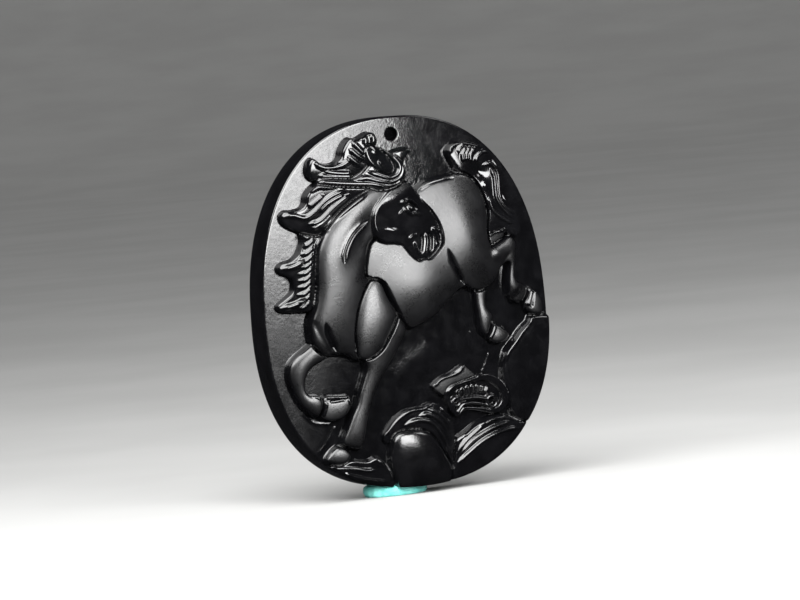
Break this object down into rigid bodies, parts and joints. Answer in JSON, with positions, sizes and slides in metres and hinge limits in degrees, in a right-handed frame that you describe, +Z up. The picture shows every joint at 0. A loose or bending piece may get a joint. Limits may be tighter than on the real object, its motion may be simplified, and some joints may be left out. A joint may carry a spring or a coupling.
{
  "type": "carved stone pendant",
  "caption": "Oval black stone pendant with a hanging hole, a horse carved in relief above rocks and a fungus, standing on a putty pad.",
  "frame": {"origin": "on the underside of the putty pad, below the middle of the plate, half way through the plate's thickness", "axes": "+Z up towards the hanging hole, -Y the way the carved face looks, +X to the right of somebody looking at the carved face"},
  "size_m": [0.0426, 0.0084, 0.0521],
  "materials": {
    "stone_satin": "fine blasted satin, black",
    "stone_polished": "polished, black",
    "putty": "soft matte putty, turquoise"
  },
  "bodies": {
    "root": {"plate": "stone_satin", "putty_pad": "putty", "head": "stone_polished", "near_ear": "stone_polished", "far_ear": "stone_polished", "forelock": "stone_polished", "mane_crest": "stone_polished", "mane_upper": "stone_polished", "mane_lower": "stone_polished", "neck_chest": "stone_satin", "shoulder": "stone_satin", "barrel": "stone_satin", "haunch": "stone_satin", "haunch_fold": "stone_satin", "tail": "stone_polished", "foreleg_standing": "stone_satin", "hoof_standing": "stone_satin", "foreleg_raised": "stone_satin", "hoof_raised": "stone_satin", "hind_leg_near": "stone_satin", "hind_hoof_near": "stone_satin", "hind_leg_far": "stone_satin", "hind_hoof_far": "stone_satin", "rock_ledge": "stone_polished", "boulder": "stone_polished", "boulder_folds": "stone_polished", "rock_folds": "stone_polished", "cliff": "stone_polished", "lingzhi_petal": "stone_polished", "lingzhi_cap": "stone_polished", "lingzhi_scroll": "stone_polished"}
  },
  "joints": []
}
